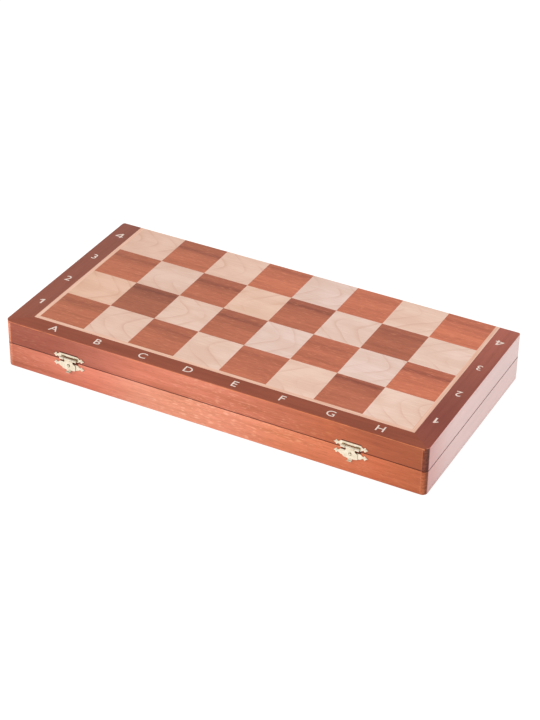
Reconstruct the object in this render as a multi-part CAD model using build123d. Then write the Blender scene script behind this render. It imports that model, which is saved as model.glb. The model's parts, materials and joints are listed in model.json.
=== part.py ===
from build123d import *
import os
from math import atan, cos, degrees, pi, radians, sin

os.makedirs("parts", exist_ok=True)

# A folding chess case, closed, in millimetres. X runs along the files from A to H, Y from the
# latches to the hinges, Z up. The lid carries ranks 1 to 4 and the underside ranks 5 to 8.

# Playing board
square = 54.0
file_count = 8
rank_count = 4
strip_width = 4.5
side_border = 23.5
front_border = 19.5

# Case
half_height = 28.0
rim_gap = 0.15
wall = 8.0
lap = 5.5
core = 2.4
veneer = 0.6
lining = 1.0
front_corner = 5.4
back_corner = 3.0
fit_gap = 0.2

# Back hinges
hinge_from_middle = 150.0
hinge_length = 38.0
hinge_knuckles = 3
knuckle_gap = 0.4
knuckle_radius = 2.1
knuckle_room = 0.3
hinge_pin_radius = 1.0
hinge_offset = 0.15
leaf_thickness = 1.0
leaf_reach = 7.2
leaf_nail_spacing = 24.0
leaf_nail_inset = 4.8

# Front latches; heights are from the closing plane, and both latches sit a little towards the A file
latch_from_middle = 164.0
latch_drift = -1.8
plate_thickness = 0.8
plate_half_width = 11.4
wing_root = 14.2
wing_neck = 1.1
wing_widest = 15.9
wing_spread = 2.8
tip_spread = 1.1
latch_half_width = 19.2
band_top = 8.3
band_middle = 4.8
band_bottom = 1.6
pivot_height = 3.4
ear_radius = 1.8
ear_inner = 5.2
ear_outer = 10.2
latch_pin_radius = 0.7
pin_play = 0.05
hasp_knuckle_radius = 1.5
hasp_knuckle_half = 4.9
hasp_back = 1.0
neck_half_width = 4.8
neck_bottom = 0.4
shoulder_half_width = 6.2
shoulder_height = -0.9
shield_half_width = 8.0
shield_top = -3.8
shield_bottom = -8.2
shield_corner = 1.0
hasp_bottom = -10.0
catch_top = -1.8
catch_middle = -5.2
catch_shoulder = -8.0
catch_bottom = -10.3
catch_foot_half = 5.5
nib_height = -4.4
nib_radius = 1.2
nib_length = 1.9
nib_bevel = 0.5
hasp_hole_radius = 1.9
curl_drop = -10.4
curl_radius = 1.2
curl_turn = 120.0
lip_half_width = 2.4

# Nails
latch_nail_from_middle = 15.9
latch_nail_head = 1.25
latch_nail_crown = 0.9
latch_nail_dome = 0.5
leaf_nail_head = 1.5
leaf_nail_sink = 0.9
nail_radius = 0.6
nail_point = 0.15
nail_length = 6.5

# Flat facets round each turned piece
nail_sides = 6
hole_sides = 12
pawn_sides = 8
man_sides = 12

# Dividers
slat = 2.0
slat_height = 22.0
column_count = 12
slat_gap = 0.1

# Men
knight_thickness = 12.0
mitre_cut = 1.4
mitre_cut_turn = 35.0
rook_height = 52.0
rook_head = 11.5
rook_hollow = 7.6
battlement_height = 4.0
battlement_gap = 2.6
battlement_turns = (0, 60, 120)
cross_foot = 81.0
cross_height = 9.0
cross_bar = 3.0
cross_arm = 8.5
head_to_divider = 2.5
base_to_wall = 4.0
rest_gap = 0.05

# Derived sizes and places
closing = half_height
board_width = file_count * square
board_depth = rank_count * square
case_width = board_width + 2 * (strip_width + side_border)
case_depth = board_depth + strip_width + front_border
right = case_width / 2
curl_middle = hasp_back + plate_thickness + curl_radius
latch_proud = curl_middle - (curl_radius + plate_thickness) * cos(radians(curl_turn))
hinge_proud = hinge_offset + knuckle_radius
case_y = (latch_proud - hinge_proud) / 2
front = case_y - case_depth / 2
back = case_y + case_depth / 2
board_front = front + front_border + strip_width
hinge_y = back + hinge_offset
rim = closing + rim_gap
wall_top = closing + half_height - core - veneer
core_top = wall_top + core
lid_top = core_top + veneer
floor_top = veneer + core + lining
inner_right = right - wall
inner_front = front + wall
inner_back = back - wall
closing_plane = Plane.XY.offset(closing)


def block(x0, x1, y0, y1, z0, z1):
    """A box between two corners."""
    low_corner = (Align.MIN, Align.MIN, Align.MIN)
    return Pos(x0, y0, z0) * Box(x1 - x0, y1 - y0, z1 - z0, align=low_corner)


def bar(x0, x1, y, z, radius):
    """A round bar along X."""
    along_x = Plane((x0, y, z), x_dir=(0, 1, 0), z_dir=(1, 0, 0))
    return extrude(along_x * Circle(radius), x1 - x0)


def turned(sides, *profile):
    """A piece turned about Z, drawn with flat facets whose middles lie on the turned surface.

    The profile is radius and height, from the bottom ring to the top one.
    """
    rings = []
    for radius, height in profile:
        corner = radius / cos(pi / sides)
        turns = [2 * pi * (index + 0.5) / sides for index in range(sides)]
        rings.append([Vector(corner * cos(turn), corner * sin(turn), height) for turn in turns])
    faces = [rings[0], rings[-1]]
    for below, above in zip(rings, rings[1:]):
        for index in range(sides):
            after = (index + 1) % sides
            faces.append([below[index], below[after], above[after], above[index]])
    return Solid(Shell([Face(Wire.make_polygon(corners)) for corners in faces]))


def lower(piece):
    """The same piece of the lower half, mirrored in the closing plane."""
    return mirror(piece, about=closing_plane)


def group(pieces):
    """Separate solids that share one node."""
    return Compound([solid for piece in pieces for solid in piece.solids()])


# Case halves, drawn as the upper one


def case_block(z0, z1):
    """The case's plan with its rounded corners, between two heights."""
    plan = Rectangle(case_width, case_depth)
    plan = fillet(plan.vertices().group_by(Axis.Y)[0], front_corner)
    plan = fillet(plan.vertices().group_by(Axis.Y)[-1], back_corner)
    return extrude(Pos(0, case_y, z0) * plan, z1 - z0)


def cross_wall(y0, y1):
    """Front or back wall, held between the lapped ends of the side walls."""
    return block(lap - right, right - lap, y0, y1, rim, wall_top)


def side_wall():
    """Right wall, rabbeted at both ends to lap over the front and back walls."""
    solid = case_block(rim, wall_top) & block(inner_right, right, front, back, rim, wall_top)
    for y0, y1 in ((front, inner_front), (inner_back, back)):
        solid -= block(inner_right, right - lap, y0, y1, rim, wall_top)
    return solid


def hinge_recess(x):
    """What one hinge takes out of the back wall: the leaf's seat and the barrel's groove."""
    start = x - hinge_length / 2
    end = x + hinge_length / 2
    seat = block(start, end, hinge_y - leaf_reach, hinge_y, rim, rim + leaf_thickness)
    groove = bar(start - knuckle_room, end + knuckle_room, hinge_y, closing, knuckle_radius + knuckle_room)
    return seat + groove


def edging(inner, side, ahead):
    """Left, front and right veneer strips round the board, mitred at the front corners."""
    y1 = board_front - (inner - board_width / 2)
    y0 = y1 - ahead
    x1 = inner
    x0 = inner + side
    right_strip = [(x1, y1), (x0, y0), (x0, back), (x1, back)]
    left_strip = [(-x, y) for x, y in right_strip]
    front_strip = [(-x1, y1), (-x0, y0), (x0, y0), (x1, y1)]
    skin = case_block(core_top, lid_top)
    strips = [make_face(Polyline(*points, close=True)) for points in (left_strip, front_strip, right_strip)]
    return group([extrude(Pos(0, 0, core_top) * strip, veneer) & skin for strip in strips])


def tiles(parity):
    """The squares of one colour on the lid: parity 0 for the colour of the near left square."""
    solids = []
    for column in range(file_count):
        for row in range(rank_count):
            if (column + row) % 2 != parity:
                continue
            x0 = column * square - board_width / 2
            y0 = board_front + row * square
            solids.append(block(x0, x0 + square, y0, y0 + square, core_top, lid_top))
    return group(solids)


# Back hinges


def knuckle_spans(first):
    """Where every other knuckle of a barrel starts and ends, from the first or the second."""
    length = (hinge_length - (hinge_knuckles - 1) * knuckle_gap) / hinge_knuckles
    starts = [index * (length + knuckle_gap) - hinge_length / 2 for index in range(hinge_knuckles)]
    return [(start, start + length) for start in starts[first::2]]


def hinge_leaf(first, bore_radius):
    """Upper leaf with its knuckles about the pin, bored, and countersunk for its nails."""
    y0 = hinge_y - leaf_reach
    y1 = hinge_y - knuckle_radius - knuckle_room
    leaf = block(-hinge_length / 2, hinge_length / 2, y0, y1, rim, rim + leaf_thickness)
    for start, end in knuckle_spans(first):
        leaf += block(start, end, y0, hinge_y, rim, rim + leaf_thickness)
        leaf += bar(start, end, hinge_y, closing, knuckle_radius)
    leaf -= bar(-hinge_length / 2, hinge_length / 2, hinge_y, closing, bore_radius)
    sink = [(leaf_nail_head, 0), (nail_radius, leaf_nail_sink), (nail_radius, leaf_thickness)]
    for place in leaf_nail_places(0):
        leaf -= place * turned(nail_sides, *sink)
    return leaf


def leaf_nail_places(x):
    """The two nail holes of the leaf at x, on the leaf's open face."""
    y = hinge_y - leaf_nail_inset
    return [Pos(x + side * leaf_nail_spacing / 2, y, rim) for side in (-1, 1)]


def leaf_nail():
    """Countersunk nail, its head flush at height 0 and its point up."""
    return turned(
        nail_sides, (leaf_nail_head, 0), (nail_radius, leaf_nail_sink), (nail_point, nail_length)
    )


# Front latches, drawn against the wall: x from the latch's middle, z from the closing plane


def wing(height):
    """The right wing's outline points, from its upper root to its lower one: a spade on a narrow neck."""
    hollow = ((wing_widest + latch_half_width) / 2, tip_spread)
    upper = [(wing_root, wing_neck), (wing_widest, wing_spread), hollow]
    points = [*upper, (latch_half_width, 0), *[(x, -z) for x, z in reversed(upper)]]
    return [(x, height + z) for x, z in points]


def on_wall(right_side, out, thickness):
    """A flat plate drawn by its right side, its back standing out from the front wall."""
    left_side = [(-x, z) for x, z in reversed(right_side)]
    face = make_face(Polyline(*right_side, *left_side, close=True))
    plane = Plane((0, front - out, closing), x_dir=(1, 0, 0), z_dir=(0, -1, 0))
    return extrude(plane * face, thickness)


def top_plate():
    """Winged top plate with two rolled ears for the pin."""
    right_side = [(plate_half_width, band_top), *wing(band_middle), (plate_half_width, band_bottom)]
    plate = on_wall(right_side, 0, plate_thickness)
    pivot_z = closing + pivot_height
    room = hasp_knuckle_half + fit_gap
    room_top = pivot_z + hasp_knuckle_radius + fit_gap
    plate -= block(-room, room, front - plate_thickness, front, closing, room_top)
    for start, end in ((-ear_outer, -ear_inner), (ear_inner, ear_outer)):
        plate += bar(start, end, front - ear_radius, pivot_z, ear_radius)
    plate -= bar(-ear_outer, ear_outer, front - ear_radius, pivot_z, latch_pin_radius)
    for side in (-1, 1):
        plate -= latch_nail_place(side, band_middle) * nail_hole()
    return plate


def catch_plate():
    """Winged catch plate on the lower wall, with the nib that holds the hasp."""
    right_side = [
        (plate_half_width, catch_top),
        *wing(catch_middle),
        (plate_half_width, catch_shoulder),
        (catch_foot_half, catch_bottom),
    ]
    plate = on_wall(right_side, 0, plate_thickness)
    nib_shoulder = nib_length - nib_bevel
    nib = turned(nail_sides, (nib_radius, 0), (nib_radius, nib_shoulder), (nib_radius / 2, nib_length))
    plate += facing(0, nib_height, plate_thickness) * nib
    for side in (-1, 1):
        plate -= latch_nail_place(side, catch_middle) * nail_hole()
    return plate


def facing(x, z, out):
    """A place on the front of a latch whose own Z points away from the wall."""
    return Location(Plane((x, front - out, closing + z), x_dir=(1, 0, 0), z_dir=(0, -1, 0)))


def latch_nail_place(side, z):
    """Where a nail goes through a plate's wing."""
    return facing(side * latch_nail_from_middle, z, plate_thickness)


def nail_hole():
    """The hole that a nail fills in a plate."""
    return turned(nail_sides, (nail_radius, -plate_thickness), (nail_radius, 0))


def latch_nail():
    """Round-headed nail, its head on the plate and its point in the wall."""
    shank = turned(
        nail_sides, (nail_point, -nail_length), (nail_radius, -plate_thickness), (nail_radius, 0)
    )
    return shank + turned(nail_sides, (latch_nail_head, 0), (latch_nail_crown, latch_nail_dome))


def hasp():
    """Hasp: knuckle, neck, shield with its hole, and a finger lip curled away from the wall."""
    half = [
        (neck_half_width, pivot_height),
        (neck_half_width, neck_bottom),
        (shoulder_half_width, shoulder_height),
        (shield_half_width, shield_top),
        (shield_half_width, shield_bottom),
        (shield_half_width - shield_corner, shield_bottom - shield_corner),
        (lip_half_width + shield_corner, hasp_bottom),
        (lip_half_width, hasp_bottom),
        (lip_half_width, curl_drop),
    ]
    leaf = on_wall(half, hasp_back, plate_thickness)
    pivot_z = closing + pivot_height
    leaf += bar(-hasp_knuckle_half, hasp_knuckle_half, front - ear_radius, pivot_z, hasp_knuckle_radius)
    leaf -= bar(-ear_inner, ear_inner, front - ear_radius, pivot_z, latch_pin_radius + pin_play)
    hole = turned(hole_sides, (hasp_hole_radius, 0), (hasp_hole_radius, plate_thickness))
    leaf -= facing(0, nib_height, hasp_back) * hole
    return leaf + finger_lip()


def finger_lip():
    """The curled end of the hasp, a bent strip that starts where the flat of the hasp stops."""
    section = Plane((lip_half_width, front, closing), x_dir=(0, -1, 0), z_dir=(-1, 0, 0))
    middle = (curl_middle, curl_drop)
    inner = CenterArc(middle, curl_radius, 180, curl_turn)
    outer = CenterArc(middle, curl_radius + plate_thickness, 180, curl_turn)
    ends = [Line(inner @ 0, outer @ 0), Line(inner @ 1, outer @ 1)]
    strip = section * make_face([inner, outer, *ends])
    return extrude(strip, 2 * lip_half_width)


# Men, turned about Z with the base at height 0


def pawn():
    return turned(
        pawn_sides,
        (14, 0),
        (14, 3.6),
        (8.2, 9.5),
        (4.5, 30.5),
        (8.2, 32.6),
        (4.8, 34.8),
        (7.6, 40.4),
        (3.6, 47),
    )


def rook():
    tower = turned(
        man_sides, (15.5, 0), (15.5, 4.5), (9.5, 11), (7.6, 35), (rook_head, 40), (rook_head, rook_height)
    )
    tower -= turned(man_sides, (rook_hollow, rook_height - battlement_height), (rook_hollow, rook_height))
    slot = Box(3 * rook_head, battlement_gap, 2 * battlement_height)
    for turn in battlement_turns:
        tower -= Rot(0, 0, turn) * Pos(0, 0, rook_height) * slot
    return tower


def knight():
    """A turned base that carries a horse's head and neck cut from a flat blank, nose to +X."""
    base = turned(man_sides, (15.5, 0), (15.5, 4.5), (9.5, 11), (11.5, 16))
    head = [
        (-8.5, 16),
        (-11, 30),
        (-8.5, 45),
        (-3, 55),
        (-1, 62),
        (3, 56.5),
        (8, 51),
        (14, 41),
        (12, 36.5),
        (4, 40),
        (2, 34),
        (7.5, 25),
        (8.5, 16),
    ]
    blank = extrude(Plane.XZ * make_face(Polyline(*head, close=True)), knight_thickness / 2, both=True)
    return base + blank


def bishop():
    mitre = turned(
        man_sides,
        (15.5, 0),
        (15.5, 4.5),
        (8.5, 11),
        (4.8, 42),
        (9, 45),
        (5.2, 48.5),
        (8, 55),
        (5.6, 61.5),
        (1.6, 65),
        (1.6, 68),
    )
    return mitre - Pos(6, 0, 61) * Rot(0, mitre_cut_turn, 0) * Box(8, 20, mitre_cut)


def queen():
    return turned(
        man_sides,
        (17, 0),
        (17, 5),
        (9.5, 12),
        (5.4, 52),
        (10, 55.5),
        (6, 59),
        (10.5, 73),
        (8, 75),
        (2.4, 76),
        (2.4, 80),
    )


def king():
    body = turned(
        man_sides,
        (18, 0),
        (18, 5),
        (10, 13),
        (5.8, 57),
        (10.5, 60.5),
        (6.4, 64),
        (11, 77),
        (9, 79),
        (2.2, 81.5),
    )
    cross_middle = cross_foot + cross_height / 2
    body += Pos(0, 0, cross_middle) * Box(cross_bar, cross_bar, cross_height)
    return body + Pos(0, 0, cross_middle) * Box(cross_arm, cross_bar, cross_bar)


# Each kind: its maker, base radius, base band height, and where its head rests when it lies down
men = {
    "king": (king, 18, 5, 11, 77),
    "queen": (queen, 17, 5, 10.5, 73),
    "bishop": (bishop, 15.5, 4.5, 8, 55),
    "knight": (knight, 15.5, 4.5, knight_thickness / 2, 62),
    "rook": (rook, 15.5, 4.5, 11.5, 52),
    "pawn": (pawn, 14, 3.6, 7.6, 40.4),
}

# What lies in the twelve cells of a row; a cell of two holds them head to head
row_plan = ["pawn", "pawn", "bishop", "knight", "queen", "king"]
row_plan += ["", "bishop", "knight", "rook", "pawn", "pawn"]
paired = ("rook", "pawn")


def cell_middle(column):
    """X of the middle of a cell between two cross dividers."""
    pitch = (2 * inner_right + slat) / column_count
    return (column - (column_count - 1) / 2) * pitch


def lying(name, x, base_y, heading):
    """A man lying on the lining, its base at base_y and its head towards heading, 1 or -1 in Y."""
    make, base_radius, band, head_radius, head_height = men[name]
    tilt = atan((base_radius - head_radius) / (head_height - band))
    axis_z = floor_top + rest_gap + band * sin(tilt) + base_radius * cos(tilt)
    return Pos(x, base_y, axis_z) * Rot(-heading * (90 + degrees(tilt)), 0, 0) * make()


def laid_row(side):
    """The men of one colour in their row, by kind: side -1 for the row at the latches."""
    kinds = {}
    outer = inner_front if side < 0 else inner_back
    middle = case_y + side * slat / 2
    for column, name in enumerate(row_plan):
        if not name:
            continue
        x = cell_middle(column)
        solids = kinds.setdefault(name, [])
        solids.append(lying(name, x, outer - side * base_to_wall, -side))
        if name in paired:
            solids.append(lying(name, x, middle + side * head_to_divider, side))
    return kinds


# Dividers


def dividers():
    """The long divider and the cross dividers, half-lapped where they meet."""
    top = floor_top + slat_height
    lap_height = floor_top + slat_height / 2
    long_slat = block(
        slat_gap - inner_right, inner_right - slat_gap, case_y - slat / 2, case_y + slat / 2, floor_top, top
    )
    cross_slats = []
    half_slot = slat / 2 + slat_gap
    for edge in range(1, column_count):
        x = (cell_middle(edge - 1) + cell_middle(edge)) / 2
        long_slat -= block(x - half_slot, x + half_slot, case_y - slat, case_y + slat, floor_top, lap_height)
        cross = block(
            x - slat / 2, x + slat / 2, inner_front + slat_gap, inner_back - slat_gap, floor_top, top
        )
        cross -= block(x - slat, x + slat, case_y - half_slot, case_y + half_slot, lap_height, top)
        cross_slats.append(cross)
    return long_slat, group(cross_slats)


pieces = {}

# Walls, board and lining of both halves
back_wall = cross_wall(inner_back, back)
for side in (-1, 1):
    back_wall -= hinge_recess(side * hinge_from_middle)
right_wall = side_wall()
half = {
    "front_wall": cross_wall(front, inner_front),
    "back_wall": back_wall,
    "right_wall": right_wall,
    "left_wall": mirror(right_wall, about=Plane.YZ),
    "board_core": case_block(wall_top, core_top),
    "stringing": edging(board_width / 2, strip_width, strip_width),
    "border_veneer": edging(board_width / 2 + strip_width, side_border, front_border),
    "lining": block(
        fit_gap - inner_right,
        inner_right - fit_gap,
        inner_front + fit_gap,
        inner_back - fit_gap,
        wall_top - lining,
        wall_top,
    ),
}
for name, piece in half.items():
    pieces["upper_" + name] = piece
    pieces["lower_" + name] = lower(piece)
near_left_colour = tiles(0)
other_colour = tiles(1)
pieces["upper_dark_squares"] = near_left_colour
pieces["upper_light_squares"] = other_colour
pieces["lower_dark_squares"] = lower(other_colour)
pieces["lower_light_squares"] = lower(near_left_colour)

# Hinges
upper_leaf = hinge_leaf(1, hinge_pin_radius + pin_play)
lower_leaf = lower(hinge_leaf(0, hinge_pin_radius))
hinge_pin = bar(-hinge_length / 2, hinge_length / 2, hinge_y, closing, hinge_pin_radius)
upper_nails = []
for side, end in ((-1, "left"), (1, "right")):
    x = side * hinge_from_middle
    pieces[end + "_hinge_upper_leaf"] = Pos(x, 0, 0) * upper_leaf
    pieces[end + "_hinge_lower_leaf"] = Pos(x, 0, 0) * lower_leaf
    pieces[end + "_hinge_pin"] = Pos(x, 0, 0) * hinge_pin
    upper_nails += [place * leaf_nail() for place in leaf_nail_places(x)]
pieces["hinge_upper_nails"] = group(upper_nails)
pieces["hinge_lower_nails"] = group([lower(nail) for nail in upper_nails])

# Latches
latch_pin = bar(-ear_outer, ear_outer, front - ear_radius, closing + pivot_height, latch_pin_radius)
top_nails = []
catch_nails = []
for side, end in ((-1, "left"), (1, "right")):
    move = Pos(side * latch_from_middle + latch_drift, 0, 0)
    pieces[end + "_latch_top_plate"] = move * top_plate()
    pieces[end + "_latch_catch_plate"] = move * catch_plate()
    pieces[end + "_latch_hasp"] = move * hasp()
    pieces[end + "_latch_pin"] = move * latch_pin
    for wing_side in (-1, 1):
        top_nails.append(move * latch_nail_place(wing_side, band_middle) * latch_nail())
        catch_nails.append(move * latch_nail_place(wing_side, catch_middle) * latch_nail())
pieces["latch_top_nails"] = group(top_nails)
pieces["latch_catch_nails"] = group(catch_nails)

# Dividers and men
pieces["long_divider"], pieces["cross_dividers"] = dividers()
for side, colour in ((-1, "light"), (1, "dark")):
    for name, solids in laid_row(side).items():
        plural = "s" if len(solids) > 1 else ""
        pieces[colour + "_" + name + plural] = group(solids)

for name, piece in pieces.items():
    export_step(piece, "parts/" + name + ".step")

print("nodes", len(pieces))
print("hinge pin at y", hinge_y, "z", closing)
print("latch pins at x", latch_drift, "-/+", latch_from_middle)
print("latch pins at y", front - ear_radius, "z", closing + pivot_height)
print("case from y", front, "to", back)
print("spare cells at x", cell_middle(row_plan.index("")))
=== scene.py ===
import json
from functools import cached_property
from math import asin, atan, cos, pi, radians, sin
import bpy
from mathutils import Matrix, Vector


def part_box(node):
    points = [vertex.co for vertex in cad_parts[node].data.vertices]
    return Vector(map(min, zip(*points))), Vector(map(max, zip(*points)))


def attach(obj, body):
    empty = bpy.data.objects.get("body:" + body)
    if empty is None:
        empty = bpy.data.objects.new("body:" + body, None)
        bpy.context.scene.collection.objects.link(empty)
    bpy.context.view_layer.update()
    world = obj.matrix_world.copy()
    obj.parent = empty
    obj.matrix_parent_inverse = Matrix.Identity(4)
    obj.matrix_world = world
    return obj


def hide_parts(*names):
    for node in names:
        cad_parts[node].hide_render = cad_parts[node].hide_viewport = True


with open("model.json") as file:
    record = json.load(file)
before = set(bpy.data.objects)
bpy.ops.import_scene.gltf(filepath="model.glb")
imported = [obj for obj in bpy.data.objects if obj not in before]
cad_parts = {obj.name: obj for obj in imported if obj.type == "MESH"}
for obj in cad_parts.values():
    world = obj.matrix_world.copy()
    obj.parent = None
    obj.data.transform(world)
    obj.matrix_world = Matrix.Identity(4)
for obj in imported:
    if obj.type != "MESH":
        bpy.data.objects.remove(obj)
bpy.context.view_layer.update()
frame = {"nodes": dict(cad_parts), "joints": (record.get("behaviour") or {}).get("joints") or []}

from types import SimpleNamespace

import bmesh
import bpy
from mathutils import Matrix, Vector

# Sizes in metres, read from the frame. Small parts are drawn in millimetres and scaled by mm.
mm = 0.001
squares_low, squares_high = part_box("upper_dark_squares")
core_low, core_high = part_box("upper_board_core")
file_count = 8
square = (squares_high.x - squares_low.x) / file_count
board_front = squares_low.y
lid_top = squares_high.z
front = core_low.y
back = core_high.y
right = core_high.x
wall_top = core_low.z
side_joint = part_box("upper_front_wall")[1].x
joints = {joint["name"]: joint for joint in frame["joints"]}
closing = joints["lid_hinge"]["pos_m"][2]
ends = ("left", "right")
front_corner = 5.4 * mm
back_corner = 3.0 * mm
letter_depth = 0.03 * mm


# Shader graphs


def tone(*screen):
    """A linear colour from the red, green and blue that a screen shows, 0 to 1."""
    return tuple(part / 12.92 if part <= 0.04045 else ((part + 0.055) / 1.055) ** 2.4 for part in screen)


class Value:
    """A number, place or colour that is worked out at each point of a surface, so that sums read as sums."""

    def __init__(self, graph, socket):
        self.graph = graph
        self.socket = socket

    def math(self, operation, other=0.0):
        return self.graph.value("Math", {0: self, 1: other}, operation=operation)

    def __add__(self, other):
        return self.math("ADD", other)

    def __sub__(self, other):
        return self.math("SUBTRACT", other)

    def __rsub__(self, other):
        return self.graph.value("Math", {0: other, 1: self}, operation="SUBTRACT")

    def __mul__(self, other):
        return self.math("MULTIPLY", other)

    def __truediv__(self, other):
        return self.math("DIVIDE", other)

    def __abs__(self):
        return self.math("ABSOLUTE")

    def eased(self, low, high, to_low=0.0, to_high=1.0, kind="SMOOTHSTEP"):
        """The value carried smoothly from one range to another and held at its ends."""
        inputs = {"Value": self, "From Min": low, "From Max": high, "To Min": to_low, "To Max": to_high}
        return self.graph.value("MapRange", inputs, interpolation_type=kind)

    def linear(self, low, high, to_low=0.0, to_high=1.0):
        """The same in a straight line."""
        return self.eased(low, high, to_low, to_high, "LINEAR")

    def colours(self, stops):
        """A colour ramp: each stop is a place from 0 to 1 and a colour."""
        made = self.graph.node("ValToRGB", {0: self})
        elements = made.color_ramp.elements
        elements.remove(elements[1])
        for index, (place, colour) in enumerate(stops):
            element = elements.new(place) if index else elements[0]
            element.position = place
            element.color = (*colour, 1.0)
        return Value(self.graph, made.outputs[0])

    def tones(self, *colours):
        """A colour ramp through evenly spaced colours."""
        return self.colours([(index / (len(colours) - 1), colour) for index, colour in enumerate(colours)])

    def mixed(self, over, share, blend="MIX"):
        """This colour with a share of another over it."""
        return self.graph.value("Mix", {0: share, 6: self, 7: over}, 2, data_type="RGBA", blend_type=blend)

    def tinted(self, tint, share=1.0):
        return self.mixed(tint, share, "MULTIPLY")


class Graph:
    """The node tree of a material or of the world."""

    def __init__(self, name, made_in=bpy.data.materials):
        self.owner = made_in.new(name)
        self.owner.use_nodes = True
        self.tree = self.owner.node_tree
        self.tree.nodes.clear()

    def node(self, kind, inputs=None, **settings):
        """Adds a node. Its inputs are numbers, colours or values."""
        made = self.tree.nodes.new("ShaderNode" + kind)
        for setting, choice in settings.items():
            setattr(made, setting, choice)
        for name, source in (inputs or {}).items():
            socket = made.inputs[name]
            if isinstance(source, Value):
                self.tree.links.new(source.socket, socket)
            else:
                socket.default_value = (*source, 1.0) if socket.type == "RGBA" else source
        return made

    def value(self, kind, inputs=None, output=0, **settings):
        """One output of a new node."""
        return Value(self, self.node(kind, inputs, **settings).outputs[output])

    def parts(self, vector):
        """The three parts of a vector or colour."""
        return [Value(self, part) for part in self.node("SeparateXYZ", {0: vector}).outputs]

    @cached_property
    def at(self):
        """Where the point is on the piece at rest."""
        return self.value("TexCoord", output="Object")

    @cached_property
    def xyz(self):
        return self.parts(self.at)

    x = property(lambda graph: graph.xyz[0])
    y = property(lambda graph: graph.xyz[1])
    z = property(lambda graph: graph.xyz[2])

    def lengthways(self, along):
        """The place with the grain's own direction first, X or Y."""
        return self.at if along == "X" else self.value("CombineXYZ", {0: self.y, 1: self.x, 2: self.z})

    def vector(self, operation, first, second):
        return self.value("VectorMath", {0: first, 1: second}, operation=operation)

    def noise(self, place, lumps, detail=2.0):
        """Noise with its lumps per metre along the three axes."""
        inputs = {"Vector": self.vector("MULTIPLY", place, lumps), "Scale": 1.0, "Detail": detail}
        return self.value("TexNoise", inputs)

    def figure(self, grain_place, along, across, detail=2.0):
        """Noise drawn out along the grain."""
        return self.noise(grain_place, (along, across, across), detail)

    def shown(self):
        """1 for rays that come from the camera straight, in a mirror or through glass."""
        camera, glossy, through = (
            self.value("LightPath", output=f"Is {kind} Ray") for kind in ("Camera", "Glossy", "Transmission")
        )
        return camera.math("MAXIMUM", glossy).math("MAXIMUM", through)

    def surface(self, colour, roughness, gloss, height=None, depth=0.0, **constants):
        """Ends the tree in one shader. Constants go on the shader's own sockets."""
        inputs = {"Base Color": colour, "Roughness": roughness, "Specular IOR Level": gloss}
        for name, constant in constants.items():
            inputs[name.replace("_", " ").title().replace("Ior", "IOR")] = constant
        if height:
            inputs["Normal"] = self.value("Bump", {"Height": height, "Strength": 1.0, "Distance": depth})
        self.node("OutputMaterial", {0: self.value("BsdfPrincipled", inputs)})
        return self.owner


# Wood


def long_grained(graph, grain_place, tones, pore_share=0.35, shares=(0.35, 0.35, 0.30)):
    """Colour and height of straight-grained wood with short dark pores. The shares are those of its broad,
    middle and fine bands."""
    broad = graph.figure(grain_place, 9, 70)
    streak = graph.figure(grain_place, 14, 330, 3)
    fine = graph.figure(grain_place, 70, 1300)
    bands = broad * shares[0] + streak * shares[1] + fine * shares[2]
    middle = sum(shares) / 2
    level = bands.linear(middle - 0.16, middle + 0.16)
    pores = graph.figure(grain_place, 130, 2600, 1).eased(0.60, 0.72)
    colour = level.tones(*tones).tinted((0.45, 0.36, 0.32), pores * pore_share)
    return colour, fine * 0.4 - pores


def on_outside(depth):
    """1 on a wall's outer face and 0 inside it; depth is how far in the point lies."""
    return depth.eased(0.6 * mm, 1.2 * mm, 1, 0)


def cross_wall(name, stain_and_light_stops):
    """Front and back wall wood, its grain along X; its stops shade it from the left end to the right, with
    stain and painted light.
    """
    graph = Graph(name)
    colour, height = long_grained(graph, graph.at, wall_tones)
    flecks = graph.figure(graph.at, 120, 620).eased(0.54, 0.68)
    clear = graph.figure(graph.at, 12, 30, 1).eased(0.40, 0.60)
    colour = colour.mixed(tone(0.97, 0.68, 0.56), flecks * clear * 0.42)
    # Stain and painted light along the wall: lighter in the middle and on the lower half
    plain = colour.tinted(graph.x.linear(-right, right).colours(stain_and_light_stops))
    above = (graph.z - closing) / mm
    # Painted shade along the gap between the halves, with a painted highlight just under it
    colour = plain.tinted(above.linear(-4, 4).colours(parting_stops))
    below_top = (lid_top - closing) / mm - above
    colour = colour.mixed(tone(0.42, 0.20, 0.13), below_top.eased(0.7, 1.0, 0.6, 0))
    # A paler line 1.4 mm below the top: wear where the stain is sanded through, and a painted highlight on
    # the eased arris
    arris = abs(below_top - 1.4).eased(0.2, 0.7, 1, 0)
    wear_and_highlight = graph.figure(graph.at, 60, 200).eased(0.35, 0.65, 0.25, 0.75)
    colour = colour.mixed(tone(0.90, 0.53, 0.32), arris * wear_and_highlight)
    # Painted highlight: paler within 1.6 mm of the corner joints
    from_joint = side_joint - abs(graph.x)
    colour = colour.tinted((1.15, 1.32, 1.5), from_joint.eased(0.2 * mm, 1.6 * mm, 1, 0))
    # Painted shadow round the latches, between the plates and above the upper plate
    colour = colour.tinted((0.22, 0.15, 0.12), latch_painted_shadow(graph, above))
    outside = on_outside((graph.y - front).math("MINIMUM", back - graph.y))
    return graph.surface(plain.mixed(colour, outside), 0.32, 0.3, height, 0.02 * mm)


def latch_painted_shadow(graph, above):
    """Painted shadow round the latches: between their plates and along the upper plate's top edge."""
    left_latch, right_latch = (joints[end + "_hasp_pivot"]["pos_m"][0] for end in ends)
    off = abs(abs(graph.x - (left_latch + right_latch) / 2) - (right_latch - left_latch) / 2)
    beside = off.eased(10.6 * mm, 11.6 * mm, 1, 0) * graph.y.math("LESS_THAN")
    between = abs(above + 0.1).eased(1.5, 2.2, 1, 0)
    over = abs(above - 8.7).eased(0.3, 0.9, 0.75, 0)
    return between.math("MAXIMUM", over) * beside


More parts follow.
